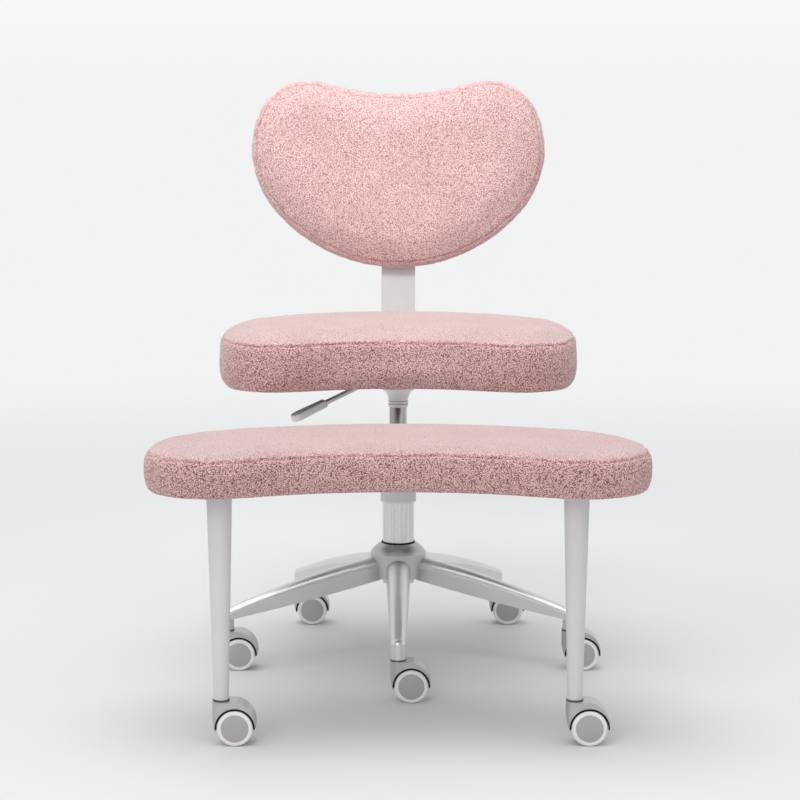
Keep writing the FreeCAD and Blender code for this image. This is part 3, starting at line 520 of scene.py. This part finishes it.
def swept_ring(name, body, centre, across, up, radii, heights, turn, material):
    """Flat ring or part of one: a rectangle between two radii and two heights, swept through a turn.

    A point is the centre, plus the radius times (cos of the angle times across plus sin of it times up), plus the
    height along the cross product of across and up."""
    across, up = np.array(across, float), np.array(up, float)
    axis = np.cross(across, up)
    closed = turn == WHOLE_TURN
    angle = np.radians(np.linspace(turn[0], turn[1], RING_STEPS, endpoint=not closed))
    spoke = np.cos(angle)[:, None] * across + np.sin(angle)[:, None] * up
    (inner, outer), (low, high) = radii, heights
    corners = [(inner, low), (outer, low), (outer, high), (inner, high)]
    points = np.stack([np.array(centre) + r * spoke + h * axis for r, h in corners], 1).reshape(-1, 3)
    step = np.arange(RING_STEPS if closed else RING_STEPS - 1)
    here, there = 4 * step, 4 * ((step + 1) % RING_STEPS)
    sides = [(k, (k + 1) % 4) for k in range(4)]
    faces = np.concatenate([np.stack([here + k, there + k, there + n, here + n], 1) for k, n in sides]).tolist()
    if not closed:
        last = 4 * (RING_STEPS - 1)
        faces += [[0, 1, 2, 3], [last + 3, last + 2, last + 1, last]]
    mesh = bpy.data.meshes.new(name)
    mesh.from_pydata(points.tolist(), [], faces)
    obj = add_object(name, mesh)
    dress(obj, material)
    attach(obj, body)


def caster_trim(name):
    """Black strip round the edge of each wheel well of a caster's hood, next to the wheel, and the dark washer on top
    of the hood.
    """
    hood, half = middle_of(nodes["hood_" + name])
    for side in ("near", "far"):
        hub = middle_of(nodes["wheel_" + side + "_" + name])[0]
        sign = -1 if hub[1] < hood[1] else 1
        centre = (hub[0], hood[1] + sign * half[1], hub[2])
        swept_ring("hood_lip_" + side + "_" + name, "caster_" + name, centre, (-sign, 0, 0), Z_AXIS,
                   WELL_STRIP_RADII, WELL_STRIP_HEIGHTS, WELL_STRIP_TURN, gap_black)
    carrier = "footrest" if name.startswith("footrest") else "base"
    centre = (hub[0] - CASTER_TRAIL, hood[1], hood[2] + half[2])
    swept_ring("stem_washer_" + name, carrier, centre, X_AXIS, Y_AXIS,
               WASHER_RADII, WASHER_HEIGHTS, WHOLE_TURN, washer_steel)


# Cushions

def evaluated(obj):
    """Mesh of an object with its modifiers applied."""
    graph = bpy.context.evaluated_depsgraph_get()
    return bpy.data.meshes.new_from_object(obj.evaluated_get(graph))


def applied(obj, modifier):
    """Replaces an object's mesh by the one that its only modifier makes."""
    mesh = evaluated(obj)
    obj.modifiers.remove(modifier)
    obj.data = mesh


def flat_seat(places):
    """Plan place and height of points of a lying cushion."""
    return places[:, :2], places[:, 2]


def flat_back(places):
    """Plan place and height of points of the leaning backrest, measured from its rear face."""
    local = places - BAR_FACE
    cos, sin = math.cos(BAR_LEAN), math.sin(BAR_LEAN)
    y = local[:, 1] * cos - local[:, 2] * sin
    z = local[:, 1] * sin + local[:, 2] * cos
    return np.stack([local[:, 0], z], 1), -y


def outline_of(node, flatten, height):
    """Closed outline of a CAD cushion at its widest height, in the order of its angle round the middle."""
    plan, level = flatten(read_points(node.data)[0])
    ring = plan[np.abs(level - height) < OUTLINE_BAND]
    middle = (plan.min(0) + plan.max(0)) / 2
    ring = ring[np.argsort(np.arctan2(ring[:, 1] - middle[1], ring[:, 0] - middle[0]))]
    step = np.linalg.norm(ring - np.roll(ring, 1, 0), axis=1)
    return ring[step > 1e-5]


def edge_distance(plan, ring):
    """Distance of plan points to a closed outline, and how far along the outline the nearest place lies."""
    start, end = ring, np.roll(ring, -1, 0)
    run = end - start
    length = np.linalg.norm(run, axis=1)
    along = np.concatenate([[0], np.cumsum(length)[:-1]])
    far = np.empty(len(plan))
    where = np.empty(len(plan))
    for low in range(0, len(plan), CHUNK):
        p = plan[low:low + CHUNK, None, :]
        share = np.clip(((p - start) * run).sum(2) / (length ** 2), 0, 1)
        gap = np.linalg.norm(p - (start + share[..., None] * run), axis=2)
        best = gap.argmin(1)
        rows = np.arange(len(best))
        far[low:low + CHUNK] = gap[rows, best]
        where[low:low + CHUNK] = along[best] + share[rows, best] * length[best]
    return far, where


def smoothed(mesh, values, rounds):
    """Numbers on a mesh's points, averaged with their neighbours along the edges several times over."""
    ends = np.empty(len(mesh.edges) * 2, np.int64)
    mesh.edges.foreach_get("vertices", ends)
    first, second = ends.reshape(-1, 2).T
    count = len(mesh.vertices)
    near = np.bincount(first, minlength=count) + np.bincount(second, minlength=count)
    for _ in range(rounds):
        total = np.bincount(first, values[second], count) + np.bincount(second, values[first], count)
        values = 0.5 * values + 0.5 * total / np.maximum(near, 1)
    return values


def inflate(obj, held, cap):
    """Blows a cushion up as pressed cloth, with held points pinned and its smoothed swelling capped."""
    group = obj.vertex_groups.new(name="held")
    group.add(np.flatnonzero(held).tolist(), 1.0, "REPLACE")
    before, normals = read_points(obj.data)
    cloth = obj.modifiers.new("cloth", "CLOTH")
    cloth.settings.use_pressure = True
    cloth.settings.uniform_pressure_force = CLOTH_PRESSURE
    cloth.settings.effector_weights.gravity = 0.0
    cloth.settings.vertex_group_mass = group.name
    cloth.settings.quality = CLOTH_QUALITY
    cloth.settings.tension_stiffness = CLOTH_STIFFNESS
    cloth.settings.compression_stiffness = CLOTH_STIFFNESS
    cloth.point_cache.frame_start = 1
    cloth.point_cache.frame_end = CLOTH_FRAMES
    for number in range(1, CLOTH_FRAMES + 1):
        scene.frame_set(number)
    after = read_points(evaluated(obj))[0]
    obj.modifiers.remove(cloth)
    scene.frame_set(1)
    swell = smoothed(obj.data, ((after - before) * normals).sum(1), SMOOTHING_ROUNDS)
    write_points(obj.data, before + np.clip(swell, DENT_LIMIT, cap)[:, None] * normals)


def blow_up(obj, level, inset, board_inset, cap, grow):
    """Draws a cushion in, blows it up, lets it out again and smooths it; its foot and its board's bed are held."""
    mesh = obj.data
    places, normals = read_points(mesh)
    held = (level < HELD_HEIGHT) | ((level < BOARD_HEIGHT) & (inset > board_inset - BOARD_MARGIN))
    free = smoothed(mesh, np.where(held, 0.0, 1.0), HELD_ROUNDS)[:, None]
    write_points(mesh, places - SHRINK * free * normals)
    inflate(obj, held, cap)
    places, normals = read_points(mesh)
    places = places + (SHRINK + grow) * free * normals
    softer = np.stack([smoothed(mesh, places[:, k], SMOOTHING_ROUNDS) for k in range(3)], 1)
    write_points(mesh, places + free * (softer - places))


def sewn_edge(across, along):
    """Sewn edge from the distance across it and the way along it: how deep in the groove, and the move outwards.

    The groove is a bell curve across the seam, whose line wanders a little. Beside it, a wider bell curve of noise
    puckers the cloth."""
    zero = 0 * along
    ripple = soft_noise(np.stack([along, across * 0.6, zero], 1), 0.011, 31)
    ripple += 0.5 * soft_noise(np.stack([along, across, zero], 1), 0.006, 37)
    wander = GROOVE_WANDER * soft_noise(np.stack([along, zero, zero], 1), 0.03, 41)
    groove = np.exp(-((across - wander) / GROOVE_WIDTH) ** 2)
    pucker = np.exp(-(across / PUCKER_WIDTH) ** 2) * (1 - groove)
    return groove, -GROOVE_DEPTH * groove + PUCKER_HEIGHT * pucker * ripple


def curls(places):
    """Height of the curls, from 0 to 1: a dome round each warped cell's centre, scaled by the cell's own number."""
    warp = np.stack([soft_noise(places, CURL_WARP_SIZE, 51 + k) for k in range(3)], 1) * CURL_WARP
    far, own = cell_noise(places + warp, CURL_SIZE, 61)
    return np.clip((1 - 1.1 * far ** 2) * (0.8 + 0.4 * own), 0, 1)


def cushion(node_name, body, flatten, bottom, widest, seam_level, seam_inset, board_inset, cap, grow):
    """Boucle cushion over a CAD cushion's form: remeshed, blown up as cloth, then given its sewn edge and pile.

    Each point moves along its normal by the seam's groove and puckers and by the curls, which are lower where the
    pile is laid and nearly gone underneath. The lower rim of a lying cushion is rolled down a little."""
    lying = seam_inset == 0
    node = nodes[node_name]
    ring = outline_of(node, flatten, bottom + widest)
    obj = add_object(node_name + "_boucle", node.data.copy())

    def measured():
        """Places and normals of the points, their height over the bottom, and their inset and way along the outline."""
        places, normals = read_points(obj.data)
        plan, level = flatten(places)
        return places, normals, level - bottom, *edge_distance(plan, ring)

    remesh = obj.modifiers.new("remesh", "REMESH")
    remesh.mode = "VOXEL"
    remesh.voxel_size = VOXEL
    applied(obj, remesh)
    _, _, level, inset, _ = measured()
    blow_up(obj, level, inset, board_inset, cap, grow)
    subdivide = obj.modifiers.new("subdivide", "SUBSURF")
    subdivide.levels = SUBDIVISIONS
    subdivide.render_levels = SUBDIVISIONS
    applied(obj, subdivide)

    places, normals, level, inset, along = measured()
    across = level - seam_level
    if lying:
        # On the tops this share also drives the boucle's painted top shade.
        laid = LAID_ON_TOP * np.clip((level - seam_level) / TOP_RISE, 0, 1)
    else:
        laid = np.full(len(level), LAID_ON_BACK)
        across = np.where(level > FRONT_HEIGHT, inset - seam_inset, 1.0)
    bed = (level < UNDER_BOARD_HEIGHT) & (inset > board_inset - UNDER_BOARD_MARGIN)
    under = np.maximum(np.clip((UNDER_RISE - level) / UNDER_RISE, 0, 1), bed.astype(float))
    groove, move = sewn_edge(across, along)
    pile = curls(places)
    move += CURL_HEIGHT * (pile - 0.5) * (1 - 0.9 * under) * (1 - laid)
    places = places + move[:, None] * normals
    if lying:
        places[:, 2] -= RIM_DROP * np.clip(1 - level / RIM_REACH, 0, 1) * np.exp(-(inset / RIM_REACH) ** 2)
    write_points(obj.data, places)

    pile = PILE_MIDDLE + 0.45 * (pile - PILE_MIDDLE) * (1 - laid)
    # The dip is painted shade, high in the valleys between the curls and in the seam's groove.
    painted_shade_depth = np.clip(1 - pile + 0.28 * groove, 0, 1)
    for name, values in (("painted_shade_depth", painted_shade_depth), ("laid", laid)):
        kept = obj.data.attributes.new(name, "FLOAT", "POINT")
        kept.data.foreach_set("value", values.astype(np.float32))
    obj.data.polygons.foreach_set("use_smooth", np.ones(len(obj.data.polygons), bool))
    dress(obj, pink)
    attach(obj, body)
    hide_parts(node_name)


cushion("seat_cushion", "seat", flat_seat, SEAT_BOTTOM, SEAT_SEAM / 2, SEAT_SEAM, 0.0,
        board_inset=0.030, cap=0.005, grow=0.001)
cushion("footrest_cushion", "footrest", flat_seat, FOOTREST_BOTTOM, FOOTREST_SEAM / 2, FOOTREST_SEAM, 0.0,
        board_inset=0.030, cap=0.003, grow=0.0005)
cushion("backrest_cushion", "seat", flat_back, 0.0, BACK_WIDEST, BACK_SEAM_DEPTH, BACK_SEAM_INSET,
        board_inset=0.034, cap=0.005, grow=0.004)

for name in [name.removeprefix("hood_") for name in nodes if name.startswith("hood_")]:
    caster_trim(name)
# Black ring round the column at the top of the hub: painted shadow of the gap between them.
swept_ring("hub_shadow_ring", "base", (0, 0, top_of(nodes["star_base"])), X_AXIS, Y_AXIS,
           HUB_SHADOW_RADII, HUB_SHADOW_HEIGHTS, WHOLE_TURN, gap_black)
# Two grey rings round the cylinder's head: painted shadow lines.
for number in (1, 2):
    height = top_of(nodes["gas_cylinder"]) - HEAD_DEPTH + number * HEAD_SHADOW_LINE_PITCH
    swept_ring("head_shadow_line_" + str(number), "seat", (0, 0, height), X_AXIS, Y_AXIS,
               HEAD_SHADOW_LINE_RADII, HEAD_SHADOW_LINE_HEIGHTS, WHOLE_TURN, ring_plastic)


# Stage

def floor():
    """Pale studio floor that passes evenly into the background with the distance from the chair."""
    mesh = bpy.data.meshes.new("floor")
    half = FLOOR_HALF
    mesh.from_pydata([(-half, -half, 0), (half, -half, 0), (half, half, 0), (-half, half, 0)], [], [(0, 1, 2, 3)])
    obj = add_object("floor", mesh)
    f = Finish("floor", (0.64, 0.64, 0.643), 0.6)
    f.colour(f.ramp(f.noise(0.6, 2.0), [(0.3, (0.63, 0.63, 0.633)), (0.7, (0.65, 0.65, 0.653))]))
    f.shader.inputs["Specular IOR Level"].default_value = 0.25
    far = f.nodes.new("ShaderNodeEmission")
    far.inputs["Color"].default_value = (*HORIZON, 1)
    fade = f.nodes.new("ShaderNodeMapRange")
    fade.interpolation_type = "SMOOTHSTEP"
    fade.inputs["From Min"].default_value, fade.inputs["From Max"].default_value = FLOOR_FADE
    f.links.new(f.length(f.place), fade.inputs["Value"])
    mix = f.nodes.new("ShaderNodeMixShader")
    f.links.new(fade.outputs["Result"], mix.inputs["Fac"])
    f.links.new(f.shader.outputs["BSDF"], mix.inputs[1])
    f.links.new(far.outputs["Emission"], mix.inputs[2])
    f.links.new(mix.outputs["Shader"], f.nodes["Material Output"].inputs["Surface"])
    dress(obj, f.material)


def light(name, place, target, size, power, spread=180, colour=WHITE):
    """Soft rectangular light that looks at a target, with its beam's spread in degrees."""
    data = bpy.data.lights.new(name, "AREA")
    data.color = colour
    data.spread = math.radians(spread)
    data.shape = "RECTANGLE"
    data.size, data.size_y = size
    data.energy = power
    obj = add_object(name, data)
    obj.location = place
    obj.rotation_euler = (Vector(target) - Vector(place)).to_track_quat("-Z", "Y").to_euler()


def world():
    """Studio room that is bright above and dim at eye level, and a plain pale background for the eye and mirrors."""
    scene.world = bpy.data.worlds.new("studio")
    scene.world.use_nodes = True
    tree = scene.world.node_tree
    place = tree.nodes.new("ShaderNodeTexCoord")
    split = tree.nodes.new("ShaderNodeSeparateXYZ")
    tree.links.new(place.outputs["Generated"], split.inputs["Vector"])

    def sky(background, stops):
        """Background whose colour follows the height of the ray's direction."""
        ramp = tree.nodes.new("ShaderNodeValToRGB")
        bar = ramp.color_ramp
        while len(bar.elements) < len(stops):
            bar.elements.new(0.5)
        for element, (at, colour) in zip(bar.elements, stops):
            element.position = at
            element.color = (*colour, 1)
        tree.links.new(split.outputs["Z"], ramp.inputs["Fac"])
        tree.links.new(ramp.outputs["Color"], background.inputs["Color"])

    room = tree.nodes["Background"]
    sky(room, [(0.0, (0.3, 0.3, 0.305)), (0.25, (0.5, 0.505, 0.51)), (0.75, (0.97, 0.985, 1.0))])
    seen = tree.nodes.new("ShaderNodeBackground")
    sky(seen, [(0.0, HORIZON), (0.05, WALL_HIGH)])
    path = tree.nodes.new("ShaderNodeLightPath")
    rays = path.outputs["Is Camera Ray"]
    for kind in ("Is Glossy Ray", "Is Transmission Ray"):
        either = tree.nodes.new("ShaderNodeMath")
        either.operation = "MAXIMUM"
        tree.links.new(rays, either.inputs[0])
        tree.links.new(path.outputs[kind], either.inputs[1])
        rays = either.outputs["Value"]
    mix = tree.nodes.new("ShaderNodeMixShader")
    tree.links.new(rays, mix.inputs["Fac"])
    tree.links.new(room.outputs["Background"], mix.inputs[1])
    tree.links.new(seen.outputs["Background"], mix.inputs[2])
    tree.links.new(mix.outputs["Shader"], tree.nodes["World Output"].inputs["Surface"])


floor()
world()
light("overhead", (-0.4, -0.5, 4.2), (0, 0, 0.3), (3.2, 2.6), 90)
light("front", (-1.6, -4.2, 2.4), (0, 0, 0.5), (2.0, 2.0), 40)
light("back_fill", (-0.2, -1.5, 1.75), (0, 0.2, 0.88), (0.7, 0.5), 1.13, 38, (0.9, 1.0, 1.0))
scene.view_settings.view_transform = "Standard"
scene.view_settings.look = "None"

camera_data = bpy.data.cameras.new("camera")
camera_data.sensor_width = SENSOR_WIDTH
camera_data.lens = FOCAL_PIXELS / PICTURE_PIXELS * SENSOR_WIDTH
camera_data.clip_end = 100.0
camera = add_object("camera", camera_data)
camera.location = CAMERA_PLACE
camera.rotation_euler = (math.radians(CAMERA_PITCH), 0, 0)
scene.camera = camera
